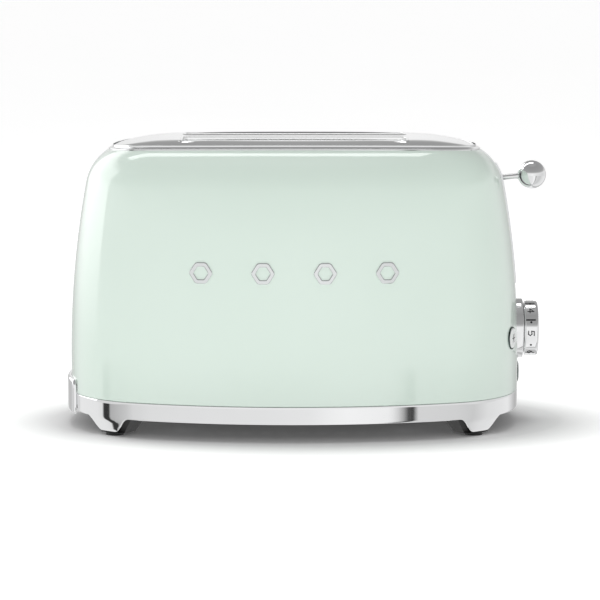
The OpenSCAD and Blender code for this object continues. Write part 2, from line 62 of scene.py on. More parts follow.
def mm_box(node):
    """A CAD node's lowest and highest corner in millimetres, X from the middle of the body."""
    low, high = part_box(node)
    return [c * MM - s for c, s in zip(low, SHIFT)], [c * MM - s for c, s in zip(high, SHIFT)]


shell_low, shell_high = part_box("outer_shell")
SHIFT = ((shell_low.x + shell_high.x) / 2 * MM, 0, 0)
HALF_LENGTH = (shell_high.x - shell_low.x) / 2 * MM
HALF_DEPTH = shell_high.y * MM
SEAM_Z = shell_low.z * MM

# Plan: an arc on each side, an arc on each end and a round corner between them
CORNER_R = 64
SIDE_DIR = (0.352, 0.936)
END_DIR = (0.96, 0.28)
# The two reaches follow from the overall length and depth
spare_length, spare_depth = HALF_LENGTH - CORNER_R, HALF_DEPTH - CORNER_R
determinant = SIDE_DIR[0] * END_DIR[1] - (1 - END_DIR[0]) * (1 - SIDE_DIR[1])
SIDE_REACH = (spare_length * END_DIR[1] - spare_depth * (1 - END_DIR[0])) / determinant
END_REACH = (spare_depth * SIDE_DIR[0] - spare_length * (1 - SIDE_DIR[1])) / determinant
CORNER_X, CORNER_Y = SIDE_REACH * SIDE_DIR[0], END_REACH * END_DIR[1]
SIDE_R, END_R = SIDE_REACH + CORNER_R, END_REACH + CORNER_R
SIDE_C = CORNER_Y - SIDE_REACH * SIDE_DIR[1]
END_C = CORNER_X - END_REACH * END_DIR[0]
END_SPAN = math.atan2(END_DIR[1], END_DIR[0])
SIDE_START = math.atan2(SIDE_DIR[1], SIDE_DIR[0])

# Wall: upright, then leaning in, then a round shoulder up to the rim
WALL = 1.2
LEAN_Z, LEAN_K = 44, 1190
SHOULDER_Z, SHOULDER_R = 156, 31.2
SHOULDER_A0 = math.atan(2 * (SHOULDER_Z - LEAN_Z) / LEAN_K)
SHOULDER_CX = (SHOULDER_Z - LEAN_Z) ** 2 / LEAN_K + SHOULDER_R * math.cos(SHOULDER_A0)
SHOULDER_CZ = SHOULDER_Z - SHOULDER_R * math.sin(SHOULDER_A0)
RIM_LOW_Z, RIM_BEND_R = 177.06, 807


def plan(angle, inset=0):
    """Point of the body's outline whose outward normal is at this angle, moved inwards."""
    c, s = math.cos(angle), math.sin(angle)
    fold = math.atan2(abs(s), abs(c))
    if fold < END_SPAN:
        cx, cy, r = END_C, 0, END_R
    elif fold < SIDE_START:
        cx, cy, r = CORNER_X, CORNER_Y, CORNER_R
    else:
        cx, cy, r = 0, SIDE_C, SIDE_R
    sx, sy = math.copysign(1, c), math.copysign(1, s)
    return (sx * cx + (r - inset) * c, sy * cy + (r - inset) * s)


def spread(low, high, steps):
    return [low + (high - low) * i / steps for i in range(steps + 1)]


def all_round(ends=14, corners=30, sides=44):
    """Normal angles for one turn, dense where the outline turns sharply."""
    first = (spread(0, END_SPAN, ends)[:-1] + spread(END_SPAN, SIDE_START, corners)[:-1]
             + spread(SIDE_START, math.pi / 2, sides))
    half = first + [math.pi - a for a in reversed(first[:-1])]
    return half + [a + math.pi for a in half[1:-1]]


def wall_point(z, t=0):
    """[inset, height] on the upright or leaning wall, t inside its outer face."""
    rise = max(0, z - LEAN_Z)
    a = math.atan(2 * rise / LEAN_K)
    return rise * rise / LEAN_K + t * math.cos(a), z - t * math.sin(a)


def shoulder_point(a, t=0):
    return (SHOULDER_CX - (SHOULDER_R - t) * math.cos(a), SHOULDER_CZ + (SHOULDER_R - t) * math.sin(a))


def rim_angle(angle):
    """Shoulder angle at which the skin stops under the rim, at this place on the plan."""
    inset = 27
    for _ in range(3):
        z = RIM_LOW_Z + plan(angle, inset)[1] ** 2 / (2 * RIM_BEND_R)
        a = math.asin((z - SHOULDER_CZ) / SHOULDER_R)
        inset = shoulder_point(a)[0]
    return a


# ---- Mesh helpers ----

SHARP = 38

def build(name, points, faces, body, slot, replaces=(), sharp=SHARP):
    """A smooth-shaded piece from points in millimetres, riding on a CAD body."""
    mesh = bpy.data.meshes.new(name)
    mesh.from_pydata([[(c + s) / MM for c, s in zip(p, SHIFT)] for p in points], [], faces)
    bm = bmesh.new()
    bm.from_mesh(mesh)
    bmesh.ops.remove_doubles(bm, verts=bm.verts, dist=1e-6)
    bmesh.ops.recalc_face_normals(bm, faces=bm.faces)
    bm.to_mesh(mesh)
    bm.free()
    mesh.shade_smooth()
    mesh.set_sharp_from_angle(angle=math.radians(sharp))
    piece = bpy.data.objects.new(name, mesh)
    bpy.context.scene.collection.objects.link(piece)
    if body:
        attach(piece, body)
        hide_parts(*replaces)
        mesh.materials.append(FINISHES[slot])
    return piece


def lattice(rows, close_rows=False, close_points=False):
    """Points and quads of a grid given as rows of points."""
    wide, tall = len(rows[0]), len(rows)
    points = [p for row in rows for p in row]
    faces = []
    for i in range(tall if close_rows else tall - 1):
        for j in range(wide if close_points else wide - 1):
            a, b = i * wide, (i + 1) % tall * wide
            k = (j + 1) % wide
            faces.append([a + j, a + k, b + k, b + j])
    return points, faces


def merge(*parts):
    """Several (points, faces) pairs as one."""
    points, faces = [], []
    for p, f in parts:
        faces += [[i + len(points) for i in face] for face in f]
        points += p
    return points, faces


def sweep(section, angles=None, closed=True):
    """Carries a closed [inset, height] section, which may change on the way, round the plan."""
    rows = []
    for a in angles or all_round():
        rows.append([(*plan(a, inset), z) for inset, z in section(a)])
    return lattice(rows, close_rows=closed, close_points=True)


def lathe(profile, frame_of, steps=96):
    """Turns a [radius, height] profile about the local Z axis of frame_of."""
    rows = []
    for r, h in profile:
        rows.append([frame_of(r * math.cos(t), r * math.sin(t), h)
                     for t in (2 * math.pi * i / steps for i in range(steps))])
    return lattice(rows, close_points=True)


def rounded(points, r, steps=4):
    """An open outline whose inner corners are replaced by arcs of radius r."""
    out = [points[0]]
    for p0, p1, p2 in zip(points, points[1:], points[2:]):
        a, b, c = Vector(p0), Vector(p1), Vector(p2)
        d0, d1 = (a - b), (c - b)
        cut = min(r, d0.length * 0.45, d1.length * 0.45)
        s, e = b + d0.normalized() * cut, b + d1.normalized() * cut
        for t in spread(0, 1, steps):
            out.append(tuple(s * (1 - t) ** 2 + b * 2 * t * (1 - t) + e * t * t))
    return out + [points[-1]]


def cut_away(piece, cutters):
    """Cuts closed meshes out of a piece, for good."""
    for cutter in cutters:
        change = piece.modifiers.new("cut", "BOOLEAN")
        change.operation, change.solver, change.object = "DIFFERENCE", "EXACT", cutter
    bpy.context.view_layer.update()
    cleaned = bpy.data.meshes.new_from_object(
        piece.evaluated_get(bpy.context.evaluated_depsgraph_get()))
    piece.modifiers.clear()
    piece.data = cleaned
    cleaned.set_sharp_from_angle(angle=math.radians(SHARP))
    for cutter in cutters:
        bpy.data.objects.remove(cutter)


def box_cutter(low, high):
    points = [(x, y, z) for x in (low[0], high[0]) for y in (low[1], high[1])
              for z in (low[2], high[2])]
    faces = [[0, 1, 3, 2], [4, 6, 7, 5], [0, 4, 5, 1], [2, 3, 7, 6], [0, 2, 6, 4], [1, 5, 7, 3]]
    return build("cutter", points, faces, None, None)


def round_cutter(frame_of, r, low, high):
    steps = 64
    points, faces = lathe([(r, low), (r, high)], frame_of, steps)
    faces += [list(range(steps)), list(range(steps, 2 * steps))]
    return build("cutter", points, faces, None, None)


def on_end(z):
    """Local +Z points out of the lever end at this height."""
    return lambda x, y, h: (HALF_LENGTH + h, x, z + y)


def on_corner(side, z, y_at):
    """The same on the rounded corner, at the place whose outline is y_at from the middle."""
    turn = side * math.asin((y_at - CORNER_Y) / CORNER_R)
    nx, ny = math.cos(turn), math.sin(turn)
    ox, oy = CORNER_X + CORNER_R * nx, side * CORNER_Y + CORNER_R * ny
    return lambda x, y, h: (ox + h * nx - x * ny, oy + h * ny + x * nx, z + y)


# ---- Finishes ----

def new_finish(name, color, metallic=0.0, roughness=0.5, **extra):
    """A material with its node tree and main shader."""
    made = bpy.data.materials.new(name)
    made.use_nodes = True
    shader = made.node_tree.nodes["Principled BSDF"]
    shader.inputs["Base Color"].default_value = (*color, 1)
    shader.inputs["Metallic"].default_value = metallic
    shader.inputs["Roughness"].default_value = roughness
    for key, value in extra.items():
        shader.inputs[key.replace("_", " ")].default_value = value
    return made, made.node_tree, shader


def object_space(tree, stretch=(1, 1, 1)):
    place = tree.nodes.new("ShaderNodeTexCoord")
    mapping = tree.nodes.new("ShaderNodeMapping")
    mapping.inputs["Scale"].default_value = stretch
    tree.links.new(place.outputs["Object"], mapping.inputs["Vector"])
    return mapping.outputs["Vector"]


def noise(tree, scale, detail=3.0, stretch=(1, 1, 1)):
    node = tree.nodes.new("ShaderNodeTexNoise")
    node.inputs["Scale"].default_value = scale
    node.inputs["Detail"].default_value = detail
    tree.links.new(object_space(tree, stretch), node.inputs["Vector"])
    return node.outputs["Fac"]


def cells(tree, scale, stretch=(1, 1, 1), output="Color"):
    node = tree.nodes.new("ShaderNodeTexVoronoi")
    node.inputs["Scale"].default_value = scale
    tree.links.new(object_space(tree, stretch), node.inputs["Vector"])
    return node.outputs[output]


def ranged(tree, value, low, high, from_low=0.3, from_high=0.7):
    node = tree.nodes.new("ShaderNodeMapRange")
    node.inputs["From Min"].default_value = from_low
    node.inputs["From Max"].default_value = from_high
    node.inputs["To Min"].default_value = low
    node.inputs["To Max"].default_value = high
    tree.links.new(value, node.inputs["Value"])
    return node.outputs["Result"]


def blend_colors(tree, factor, first, second):
    node = tree.nodes.new("ShaderNodeMix")
    node.data_type = "RGBA"
    node.inputs["A"].default_value = (*first, 1)
    node.inputs["B"].default_value = (*second, 1)
    tree.links.new(factor, node.inputs["Factor"])
    return node.outputs["Result"]


def bumped(tree, shader, height, strength, distance=0.0002):
    node = tree.nodes.new("ShaderNodeBump")
    node.inputs["Strength"].default_value = strength
    node.inputs["Distance"].default_value = distance
    tree.links.new(height, node.inputs["Height"])
    tree.links.new(node.outputs["Normal"], shader.inputs["Normal"])


def metal(name, color, roughness, grain=None, vary=0.06, bump=0.02):
    """Bare metal: fine grain in its roughness and relief, and a slight drift of tone."""
    made, tree, shader = new_finish(name, color, 1.0, roughness)
    grain_value = noise(tree, 900, 4, grain or (1, 1, 1))
    tree.links.new(ranged(tree, grain_value, roughness * (1 - vary * 4), roughness * (1 + vary * 4)),
                   shader.inputs["Roughness"])
    dull = tuple(c * (1 - vary) for c in color)
    tree.links.new(blend_colors(tree, ranged(tree, noise(tree, 14), 0, 1), dull, color),
                   shader.inputs["Base Color"])
    bumped(tree, shader, grain_value, bump, 0.00004)
    return made


def enamel(name, color, deep):
    """Gloss enamel: a faint orange-peel relief under a clear coat, and a slow drift of tint."""
    made, tree, shader = new_finish(name, color, 0.0, 0.34, Coat_Weight=1.0, Coat_Roughness=0.035,
                                    Coat_IOR=1.8, Specular_IOR_Level=0.3)
    tree.links.new(blend_colors(tree, ranged(tree, noise(tree, 9, 2), 0, 1), deep, color),
                   shader.inputs["Base Color"])
    tree.links.new(ranged(tree, noise(tree, 260, 3), 0.30, 0.38), shader.inputs["Roughness"])
    peel = tree.nodes.new("ShaderNodeBump")
    peel.inputs["Strength"].default_value = 0.03
    peel.inputs["Distance"].default_value = 0.00006
    tree.links.new(noise(tree, 420, 2), peel.inputs["Height"])
    tree.links.new(peel.outputs["Normal"], shader.inputs["Normal"])
    tree.links.new(peel.outputs["Normal"], shader.inputs["Coat Normal"])
    return made


def spangled(name, color):
    """Zinc-coated sheet with its crystal spangle."""
    made, tree, shader = new_finish(name, color, 1.0, 0.38)
    spangle = cells(tree, 160)
    grey = tree.nodes.new("ShaderNodeRGBToBW")
    tree.links.new(spangle, grey.inputs["Color"])
    dark = tuple(c * 0.72 for c in color)
    tree.links.new(blend_colors(tree, ranged(tree, grey.outputs["Val"], 0, 1, 0.2, 0.8), dark, color),
                   shader.inputs["Base Color"])
    tree.links.new(ranged(tree, grey.outputs["Val"], 0.28, 0.5, 0.2, 0.8), shader.inputs["Roughness"])
    bumped(tree, shader, noise(tree, 500), 0.05)
    return made


def plastic(name, color, lighter, roughness, texture=700):
    """Moulded plastic with a spark-eroded texture."""
    made, tree, shader = new_finish(name, color, 0.0, roughness)
    tree.links.new(blend_colors(tree, ranged(tree, noise(tree, 60), 0, 1), color, lighter),
                   shader.inputs["Base Color"])
    texture_value = noise(tree, texture, 4)
    tree.links.new(ranged(tree, texture_value, roughness * 0.85, roughness * 1.15),
                   shader.inputs["Roughness"])
    bumped(tree, shader, texture_value, 0.12)
    return made


def flaked(name, color, flake):
    """Pressed mica: overlapping pale flakes under a slight gloss."""
    made, tree, shader = new_finish(name, color, 0.0, 0.42)
    tree.links.new(blend_colors(tree, ranged(tree, cells(tree, 240, output="Distance"), 0, 1, 0.0, 0.7),
                                flake, color), shader.inputs["Base Color"])
    bumped(tree, shader, noise(tree, 900, 5), 0.15)
    return made


def wound(name, color, gap):
    """Enamelled wire in close turns about an upright axis."""
    made, tree, shader = new_finish(name, color, 0.85, 0.3)
    turns = tree.nodes.new("ShaderNodeTexWave")
    turns.bands_direction = "Z"
    turns.inputs["Scale"].default_value = 320
    turns.inputs["Distortion"].default_value = 0.3
    tree.links.new(object_space(tree), turns.inputs["Vector"])
    tree.links.new(blend_colors(tree, turns.outputs["Fac"], gap, color), shader.inputs["Base Color"])
    bumped(tree, shader, turns.outputs["Fac"], 0.6)
    return made


def laminate(name, color, track):
    """Circuit board with faint tracks under green lacquer."""
    made, tree, shader = new_finish(name, color, 0.0, 0.3, Coat_Weight=0.5)
    tracks = tree.nodes.new("ShaderNodeTexBrick")
    tracks.inputs["Scale"].default_value = 130
    tracks.inputs["Mortar Size"].default_value = 0.05
    tracks.inputs["Color1"].default_value = (*color, 1)
    tracks.inputs["Color2"].default_value = (*[c * 0.85 for c in color], 1)
    tracks.inputs["Mortar"].default_value = (*track, 1)
    turned = tree.nodes.new("ShaderNodeMapping")
    turned.inputs["Rotation"].default_value = (0, math.pi / 2, 0)
    tree.links.new(object_space(tree), turned.inputs["Vector"])
    tree.links.new(turned.outputs["Vector"], tracks.inputs["Vector"])
    tree.links.new(tracks.outputs["Color"], shader.inputs["Base Color"])
    bumped(tree, shader, tracks.outputs["Fac"], 0.1)
    return made


def ink(name, color):
    """Printed marking, also one painted reflection band on the knob's rim: dense pigment with a slightly
    broken surface.
    """
    made, tree, shader = new_finish(name, color, 0.0, 0.55)
    tree.links.new(ranged(tree, noise(tree, 1500), 0.45, 0.65), shader.inputs["Roughness"])
    return made


FINISHES = {
    "shell_enamel": enamel("shell_enamel", (0.745, 0.865, 0.785), (0.725, 0.85, 0.765)),
    "polished_chrome": metal("polished_chrome", (0.93, 0.935, 0.94), 0.035),
    "polished_steel": metal("polished_steel", (0.97, 0.975, 0.975), 0.06, (1, 30, 1)),
    "ornament_chrome": metal("ornament_chrome", (0.82, 0.84, 0.84), 0.09),
    "satin_chrome": metal("satin_chrome", (0.80, 0.81, 0.82), 0.2),
    "galvanised_steel": spangled("galvanised_steel", (0.66, 0.68, 0.70)),
    "bright_aluminium": metal("bright_aluminium", (0.88, 0.89, 0.90), 0.22, (1, 1, 20)),
    "rack_steel": metal("rack_steel", (0.76, 0.77, 0.79), 0.26),
    "steel_rod": metal("steel_rod", (0.80, 0.81, 0.83), 0.14, (20, 20, 1)),
    "screw_steel": metal("screw_steel", (0.62, 0.63, 0.65), 0.3),
    "copper_coil": wound("copper_coil", (0.72, 0.33, 0.14), (0.12, 0.05, 0.03)),
    "heater_ribbon": metal("heater_ribbon", (0.50, 0.47, 0.45), 0.4, (30, 1, 1), 0.1),
    "mica": flaked("mica", (0.62, 0.56, 0.46), (0.78, 0.74, 0.66)),
    "circuit_board": laminate("circuit_board", (0.03, 0.16, 0.07), (0.07, 0.26, 0.11)),
    "black_plastic": plastic("black_plastic", (0.012, 0.012, 0.012), (0.02, 0.02, 0.02), 0.48),
    "dark_plastic": plastic("dark_plastic", (0.05, 0.052, 0.055), (0.07, 0.072, 0.075), 0.4),
    "white_plastic": plastic("white_plastic", (0.84, 0.86, 0.85), (0.88, 0.90, 0.89), 0.3),
    "pale_plastic": plastic("pale_plastic", (0.72, 0.72, 0.66), (0.78, 0.78, 0.72), 0.42),
    "foot_rubber": plastic("foot_rubber", (0.014, 0.014, 0.014), (0.022, 0.022, 0.022), 0.75, 400),
}
PRINT_AND_PAINTED_BAND = ink("dial_print_and_painted_band", (0.012, 0.013, 0.014))
DARK_RING = metal("dark_ring", (0.05, 0.075, 0.07), 0.16)

slot_of = {row["node"]: row["material_slot"] for row in frame["record"]["subparts"]}
for node, thing in frame["nodes"].items():
    thing.data.materials.clear()
    thing.data.materials.append(FINISHES[slot_of[node]])


# ---- Shell ----

def shell_section(angle):
    """Closed section of the pressed skin, with a small rounded edge at the seam."""
    end = rim_angle(angle)
    heights = [SEAM_Z + 0.9] + spread(SEAM_Z + 3, LEAN_Z, 3) + spread(LEAN_Z + 4, SHOULDER_Z, 24)
    bends = spread(SHOULDER_A0, end, 16)[1:]
    outer = [wall_point(z) for z in heights] + [shoulder_point(a) for a in bends]
    inner = ([wall_point(z, WALL) for z in heights[::3]]
             + [shoulder_point(a, WALL) for a in bends[::3]])
    hem = [(WALL, SEAM_Z), (0.7, SEAM_Z), (0.2, SEAM_Z + 0.25)]
    return outer + inner[::-1] + hem


LEVER_LOW, LEVER_HIGH, LEVER_HALF = 95, 162, 2.5
SHAFT_HOLE_R = 9
TRAY_OPENING_TOP = 29
knob_low, knob_high = mm_box("browning_knob")
KNOB_Z, KNOB_R = (knob_low[2] + knob_high[2]) / 2, (knob_high[2] - knob_low[2]) / 2
button_low, button_high = mm_box("lower_button")
BUTTON_R = (button_high[2] - button_low[2]) / 2
RING_R = BUTTON_R + 0.9
LOWER_Z = (button_low[2] + button_high[2]) / 2
side_low, side_high = mm_box("rear_button")
SIDE_Z = (side_low[2] + side_high[2]) / 2
SIDE_Y = 40
BUTTON_FRAMES = {
    "front": on_corner(-1, SIDE_Z, SIDE_Y), "rear": on_corner(1, SIDE_Z, SIDE_Y),
    "lower": on_end(LOWER_Z),
}
TRAY_HALF = mm_box("crumb_tray_pan")[1][1]

shell = build("shell_skin", *sweep(shell_section), "housing", "shell_enamel", ["outer_shell"])
cut_away(shell, [
    box_cutter((120, -LEVER_HALF, LEVER_LOW), (155, LEVER_HALF, LEVER_HIGH)),
    round_cutter(on_end(KNOB_Z), SHAFT_HOLE_R, -14, 9),
    *[round_cutter(f, RING_R, -12, 8) for f in BUTTON_FRAMES.values()],
    box_cutter((-155, -TRAY_HALF - 1, SEAM_Z - 2), (-120, TRAY_HALF + 1, TRAY_OPENING_TOP)),
])


# ---- Rim and top ----

def rim_base(angle):
    return shoulder_point(rim_angle(angle))


RIM_H = 3.1


def rim_section(angle):
    """Chrome ring: a sloping outer face, an upright bead, and a lip down inside."""
    inset, z = rim_base(angle)
    top = rounded([(-0.1, -0.3), (-0.3, 0.7), (2.3, 1.7), (2.4, RIM_H), (3.0, RIM_H), (3.0, 0.5)],
                  0.4, 5)
    inner = [(3.0, -3), (1.7, -3), (1.7, -0.6), (0.6, -1.2)]
    return [(inset + i, z + h) for i, h in top + inner]


build("rim_ring", *sweep(rim_section), "housing", "polished_chrome", ["trim_ring"])

LIP_H = 0.5
TOP_Z = mm_box("top_panel")[1][2] - LIP_H
END_FALL_X, END_FALL_R = 75, 160
SIDE_FALL_FROM = 0.73
DOME_INSET = 3.5
SLOT_HALF, SLOT_W, SLOT_Y, SLOT_R = 71, 34, 30, 3


def dome_edge(angle):
    return plan(angle, rim_base(angle)[0] + DOME_INSET)


def angle_at(x):
    """Normal angle in the first quadrant at which the dome's edge is at x."""
    low, high = 0.0, math.pi / 2
    for _ in range(24):
        middle = (low + high) / 2
        low, high = (middle, high) if dome_edge(middle)[0] > x else (low, middle)
    return low


def dome_line(x):
    """How far the dome reaches at this x, its height on the centre line and its fall to the edge."""
    reach = dome_edge(angle_at(abs(x)))[1]
    beyond = max(0, abs(x) - END_FALL_X)
    crest = TOP_Z - END_FALL_R + math.sqrt(END_FALL_R ** 2 - beyond ** 2)
    ring_top = RIM_LOW_Z + reach ** 2 / (2 * RIM_BEND_R) + RIM_H - 0.2
    return reach, crest, max(0, crest - ring_top)


def dome(y, line):
    reach, crest, drop = line
    share = max(0, abs(y) / max(reach, 0.1) - SIDE_FALL_FROM) / (1 - SIDE_FALL_FROM)
    return crest - drop * share ** 2


def top_sheet():
    """Domed sheet with two bread slots: columns across the body, lines kept on the slot edges."""
    break_angle = angle_at(SLOT_HALF)
    quarter = spread(0.0, break_angle, 40) + spread(break_angle, math.pi / 2, 30)[1:]
    columns = quarter + [math.pi - a for a in reversed(quarter[:-1])]
    slot_in, slot_out = SLOT_Y - SLOT_W / 2, SLOT_Y + SLOT_W / 2
    lines = spread(0, slot_in, 3) + spread(slot_in, slot_out, 4)[1:]
    full = dome_edge(break_angle)[1]
    rows = []
    for a in columns:
        x, reach = dome_edge(a)
        scale = min(1, reach / full)
        half = [y * scale for y in lines] + spread(slot_out * scale, reach, 14)[1:]
        ys = [-y for y in reversed(half[1:])] + half
        line = dome_line(x)
        row = [(x, y, dome(y, line)) for y in ys]
        rows.append([(x, -reach, row[0][2] - 2.5), *row, (x, reach, row[-1][2] - 2.5)])
    points, faces = lattice(rows)
    kept = []
    for face in faces:
        inside = all(abs(points[i][0]) <= SLOT_HALF + 0.01 for i in (face[0], face[2]))
        y = (points[face[0]][1] + points[face[1]][1]) / 2
        if not (inside and slot_in < abs(y) < slot_out):
            kept.append(face)
    return points, kept


def slot_collar(side):
    """Rolled edge of a bread slot, which turns down into the machine."""
    profile = rounded([(2.2, 0.01), (1.2, LIP_H - 0.12), (0, LIP_H - 0.2), (0, -9)], 0.7, 5)
    profile += [(0.9, -9), (0.9, -1)]
    rows = []
    for t in spread(0, 2 * math.pi, 120)[:-1]:
        c, s = math.cos(t), math.sin(t)
        cx, cy = SLOT_HALF - SLOT_R, SLOT_W / 2 - SLOT_R
        row = []
        for out, up in profile:
            x = math.copysign(cx, c) + (SLOT_R + out) * c
            y = side * SLOT_Y + math.copysign(cy, s) + (SLOT_R + out) * s
            row.append((x, y, dome(y, dome_line(x)) + up))
        rows.append(row)
    return lattice(rows, close_rows=True, close_points=True)


build("top_sheet", *merge(top_sheet(), slot_collar(-1), slot_collar(1)), "housing", "polished_steel",
      ["top_panel"], 50)


# ---- Base ----

SKIRT_Z0, LEG_Z = 11.6, mm_box("base_skirt")[0][2]
LEG_MID = math.radians(50.5)
LEG_TOP_HALF, LEG_FOOT_HALF = 15.2, 8
LEG_START_Z = SKIRT_Z0 - 1
LEG_LEAN = (3.0 - 0.1) / (LEG_START_Z - LEG_Z)


def leg_edge(distance):
    """Height of the lower edge at this distance along the skirt from a leg's middle."""
    def straight(d):
        share = (abs(d) - LEG_FOOT_HALF) / (LEG_TOP_HALF - LEG_FOOT_HALF)
        return LEG_Z + (SKIRT_Z0 - LEG_Z) * min(1, max(0, share))
    return sum(straight(distance + o) for o in spread(-2.4, 2.4, 8)) / 9


def skirt_edge(angle):
    fold = math.atan2(abs(math.sin(angle)), abs(math.cos(angle)))
    if not END_SPAN - 0.2 < fold < SIDE_START + 0.2:
        return SKIRT_Z0
    return leg_edge(CORNER_R * (fold - LEG_MID))


def skirt_section(angle):
    """Chrome skirt with a rolled lower edge; under a corner it reaches down into a leg."""
    low, top = skirt_edge(angle), SEAM_Z

    def lean(z):
        return max(0, LEG_START_Z - z) * LEG_LEAN

    outer = [(lean(z), z) for z in spread(top - 0.5, low + 0.7, 14)]
    edge = [(lean(low) + 0.15, low + 0.25), (lean(low) + 0.7, low), (lean(low) + 1.7, low)]
    inner = [(lean(z) + 1.9, z) for z in spread(low + 0.3, top, 6)]
    return [(0.5, top), (0.12, top - 0.12)] + outer + edge + inner


skirt = build("skirt_with_legs", *sweep(skirt_section, all_round(18, 90, 44)), "housing",
              "polished_chrome", ["base_skirt"])
cut_away(skirt, [box_cutter((-155, -TRAY_HALF - 1, 13), (-120, TRAY_HALF + 1, 40))])


def tray_front():
    """Pad with rounded edges that follows the end's arc."""
    low, high = mm_box("crumb_tray_front")
    half, z0, z1, proud = high[1], low[2], high[2], -low[0] - HALF_LENGTH
    corner, edge = 5.0, 2.2
    across, up = 70, 26

    def packed(i, count):
        """Share of the way at step i, with the steps packed towards both edges."""
        return 0.5 - 0.5 * math.cos(math.pi * i / count)

    rows, backs = [], []
    for i in range(across + 1):
        s = -half + 2 * half * packed(i, across)
        lost = max(0, abs(s) - (half - corner))
        round_off = corner - math.sqrt(max(0, corner ** 2 - lost ** 2))
        a, b = z0 + round_off, z1 - round_off
        row = []
        for j in range(up + 1):
            z = a + (b - a) * packed(j, up)
            depth = min(half - abs(s), z - z0, z1 - z)
            near_corner = abs(s) - (half - corner), max(z0 + corner - z, z - z1 + corner)
            if near_corner[0] > 0 and near_corner[1] > 0:
                depth = corner - math.hypot(*near_corner)
            share = min(1, max(0, depth) / edge)
            lift = proud * (0.35 + 0.65 * math.sqrt(1 - (1 - share) ** 2))
            angle = math.pi + math.asin(s / END_R)
            row.append((*plan(angle, -lift), z))
        rows.append(row)
        backs.append([(*plan(math.pi + math.asin(s / END_R), -0.1), p[2]) for p in row])
    front = lattice(rows)

    def outline(grid):
        return ([r[0] for r in grid] + grid[-1][1:] + [r[-1] for r in reversed(grid[:-1])]
                + grid[0][-2:0:-1])

    return merge(front, lattice([outline(rows), outline(backs)], close_points=True))


build("tray_front", *tray_front(), "crumb_tray", "polished_chrome", ["crumb_tray_front"])


# ---- Front ornaments: four raised six-sided outlines ----

ORNAMENT_PITCH, ORNAMENT_Z = 38.5, 105.4
ORNAMENT_HALF_W, ORNAMENT_HALF_H = 7.6, 6.6


def front_y(x, z, out=0):
    """Y of the front face at this place, with out millimetres in front of it."""
    inset = wall_point(z)[0]
    angle = 1.5 * math.pi + math.asin(x / (SIDE_R - inset))
    return plan(angle, inset - out)[1]


def ornament(middle):
    """Raised outline with rounded ridges, following the front face."""
    def loop(w, h, r):
        corners = [(-w, 0), (-w * 0.45, h), (w * 0.45, h), (w, 0), (w * 0.45, -h), (-w * 0.45, -h)]
        start = ((corners[0][0] + corners[1][0]) / 2, (corners[0][1] + corners[1][1]) / 2)
        return rounded([start, *corners[1:], corners[0], start], r, 5)[:-1]
    rows = []
    for inwards, out in [(0, 0.02), (0, 0.35), (0.25, 0.57), (0.7, 0.6), (1.5, 0.5), (2.3, 0.6),
                         (2.75, 0.57), (3.0, 0.35), (3.0, 0.02)]:
        w, h = ORNAMENT_HALF_W - inwards, ORNAMENT_HALF_H - inwards * 0.9
        rows.append([(middle + x, front_y(middle + x, ORNAMENT_Z + z, out), ORNAMENT_Z + z)
                     for x, z in loop(w, h, 1.6 - inwards * 0.3)])
    return lattice(rows, close_points=True)


build("front_marks", *merge(*[ornament(i * ORNAMENT_PITCH) for i in (-1.5, -0.5, 0.5, 1.5)]),
      "housing", "ornament_chrome", ["front_ornaments"], 60)


# ---- Lever ----

ball_low, ball_high = mm_box("lever_ball")
BALL_R = (ball_high[2] - ball_low[2]) / 2 - 0.03
BALL_X, BALL_Z = (ball_low[0] + ball_high[0]) / 2, (ball_low[2] + ball_high[2]) / 2
STEM_RISE = math.radians(5.5)
STEM_ROOT, STEM_R = mm_box("lever_stem")[0][0], 1.8
STEM_BEND_X = STEM_ROOT + 6
STEM_Z = BALL_Z - (BALL_X - STEM_BEND_X) * math.tan(STEM_RISE)


def along_stem(x, y, h):
    c, s = math.cos(STEM_RISE), math.sin(STEM_RISE)
    return BALL_X + h * c - x * s, y, BALL_Z + h * s + x * c


ball_profile = [(0.001, BALL_R)] + [(BALL_R * math.sin(t), BALL_R * math.cos(t))
                                    for t in spread(0, math.pi, 64)[1:-2]] + [(2.2, -BALL_R + 0.25)]
build("lever_ball_skin", *lathe(ball_profile, along_stem), "lever", "polished_chrome", ["lever_ball"])
stem_length = (BALL_X - STEM_BEND_X) / math.cos(STEM_RISE)
stem_profile = [(0.01, -stem_length - 3), (STEM_R, -stem_length - 3), (STEM_R, -BALL_R - 1.2),
                (2.1, -BALL_R - 0.4), (2.2, -BALL_R + 0.6)]
stem_root = lathe([(0.01, STEM_ROOT), (STEM_R - 0.3, STEM_ROOT), (STEM_R, STEM_ROOT + 0.4),
                   (STEM_R, STEM_BEND_X + 0.5), (0.01, STEM_BEND_X + 0.6)],
                  lambda x, y, h: (h, x, STEM_Z + y), 48)
build("lever_stem_rod", *merge(lathe(stem_profile, along_stem, 48), stem_root), "lever",
      "polished_chrome", ["lever_stem"])


# ---- Browning control ----

bezel_high = mm_box("control_bezel")[1]
BEZEL_R, BEZEL_X1 = bezel_high[1], bezel_high[0]


def about_dial(x, y, h):
    """Axis along +X through the dial; x and y are across it."""
    return h, x, KNOB_Z + y


bezel_profile = rounded([(BEZEL_R - 0.7, BEZEL_X1 - 8), (BEZEL_R, BEZEL_X1 - 7.5), (BEZEL_R, BEZEL_X1),
                         (BEZEL_R - 3.4, BEZEL_X1), (BEZEL_R - 4, BEZEL_X1 - 1.5), (3.6, BEZEL_X1 - 1.5),
                         (3.6, BEZEL_X1 - 4)], 0.6)
build("dial_bezel", *lathe(bezel_profile, about_dial), "housing", "polished_chrome", ["control_bezel"])

